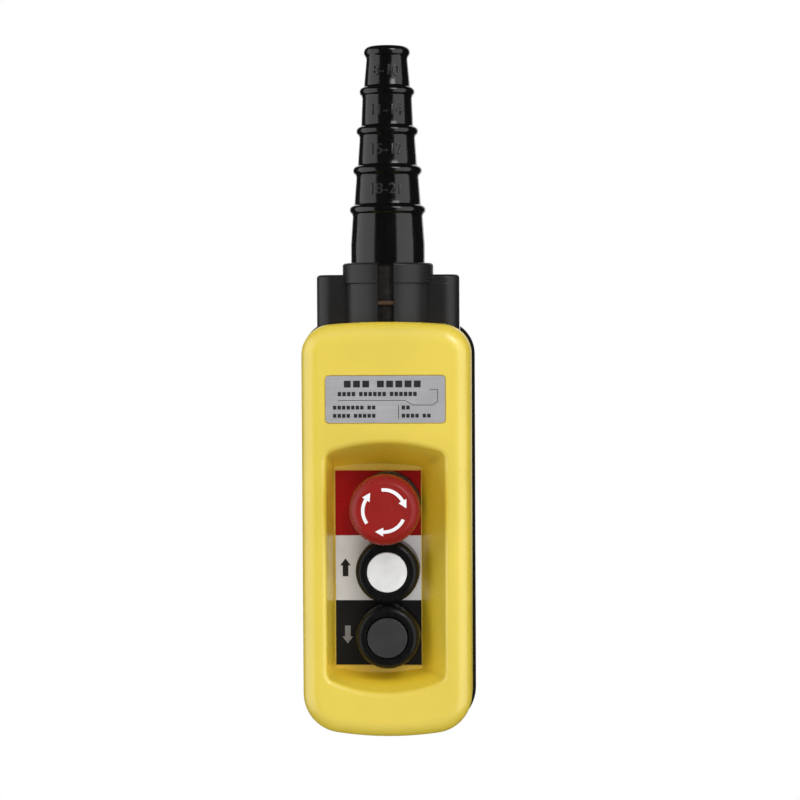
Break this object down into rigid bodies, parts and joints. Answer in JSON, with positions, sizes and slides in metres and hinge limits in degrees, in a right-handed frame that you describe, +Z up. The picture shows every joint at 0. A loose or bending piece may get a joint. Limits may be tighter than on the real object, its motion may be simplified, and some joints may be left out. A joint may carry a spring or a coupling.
{
  "type": "pendant control station",
  "caption": "Yellow hand-held pendant control station with a red turn-to-release stop button, push buttons for up and down, and a stepped rubber cable sleeve.",
  "frame": {"origin": "centre of the cable entry, at the top of the rubber sleeve", "axes": "+Z up along the cable, +X to the right of someone facing the buttons, and the buttons face -Y"},
  "size_m": [0.0798, 0.0766, 0.3164],
  "materials": {
    "case_yellow": "fine spark-eroded grain, satin",
    "black_rubber": "moulded rubber, slightly glossy",
    "sleeve_rubber": "glossy moulded rubber",
    "black_plastic": "matt charcoal moulding",
    "plate_silver": "brushed silver plate",
    "legend_red": "smooth red plate",
    "legend_white": "smooth pale grey plate",
    "legend_black": "smooth black plate",
    "stop_red": "satin red moulding",
    "cap_white": "satin white moulding",
    "cap_dark": "satin dark grey moulding",
    "grey_plastic": "glass-filled moulding",
    "steel": "zinc-plated",
    "spring_steel": "bright spring wire",
    "contact_brass": "brass strip with silver contacts"
  },
  "bodies": {
    "case": {"front_shell": "case_yellow", "rear_shell": "case_yellow", "shell_seal": "black_rubber", "case_screws": "steel", "case_screw_washers": "black_rubber", "rating_plate": "plate_silver", "cable_sleeve": "sleeve_rubber", "shroud": "black_plastic", "sleeve_collar": "black_plastic", "collar_pins": "contact_brass", "cable_clamp_bar": "grey_plastic", "cable_clamp_screws": "steel", "contact_plate": "steel", "contact_plate_screws": "steel", "stop_legend": "legend_red", "up_legend": "legend_white", "down_legend": "legend_black", "stop_bezel": "black_plastic", "stop_spring": "spring_steel", "up_bezel": "black_plastic", "up_boot": "black_rubber", "up_spring": "spring_steel", "down_bezel": "black_plastic", "down_boot": "black_rubber", "down_spring": "spring_steel", "stop_nut": "grey_plastic", "stop_contact_block": "grey_plastic", "stop_contact_strips": "contact_brass", "stop_contact_spring": "spring_steel", "stop_terminal_screws": "steel", "up_nut": "grey_plastic", "up_contact_block": "grey_plastic", "up_contact_strips": "contact_brass", "up_contact_spring": "spring_steel", "up_terminal_screws": "steel", "down_nut": "grey_plastic", "down_contact_block": "grey_plastic", "down_contact_strips": "contact_brass", "down_contact_spring": "spring_steel", "down_terminal_screws": "steel"},
    "stop_plunger": {"stop_stem": "grey_plastic", "stop_clip": "spring_steel", "stop_contact_carrier": "grey_plastic", "stop_contact_bridge": "contact_brass", "stop_return_spring": "spring_steel"},
    "stop_head": {"stop_head": "stop_red"},
    "up_button": {"up_cap": "cap_white", "up_stem": "grey_plastic", "up_clip": "spring_steel", "up_contact_carrier": "grey_plastic", "up_contact_bridge": "contact_brass"},
    "down_button": {"down_cap": "cap_dark", "down_stem": "grey_plastic", "down_clip": "spring_steel", "down_contact_carrier": "grey_plastic", "down_contact_bridge": "contact_brass"}
  },
  "joints": [
    {"name": "stop_push", "type": "slide", "parent": "case", "child": "stop_plunger", "axis": [0, 1, 0], "range_m": [0, 0.004], "deforming": ["stop_spring", "stop_contact_spring"]},
    {"name": "stop_turn", "type": "hinge", "parent": "stop_plunger", "child": "stop_head", "pos_m": [0, -0.038, -0.21], "axis": [0, 1, 0], "range_deg": [0, 45], "stiffness_Nm_per_rad": 0.05, "deforming": ["stop_return_spring"]},
    {"name": "up_push", "type": "slide", "parent": "case", "child": "up_button", "axis": [0, 1, 0], "range_m": [0, 0.0038], "stiffness_N_per_m": 1500, "springref_m": -0.002, "deforming": ["up_spring", "up_boot", "up_contact_spring"]},
    {"name": "down_push", "type": "slide", "parent": "case", "child": "down_button", "axis": [0, 1, 0], "range_m": [0, 0.0038], "stiffness_N_per_m": 1500, "springref_m": -0.002, "deforming": ["down_spring", "down_boot", "down_contact_spring"]}
  ]
}
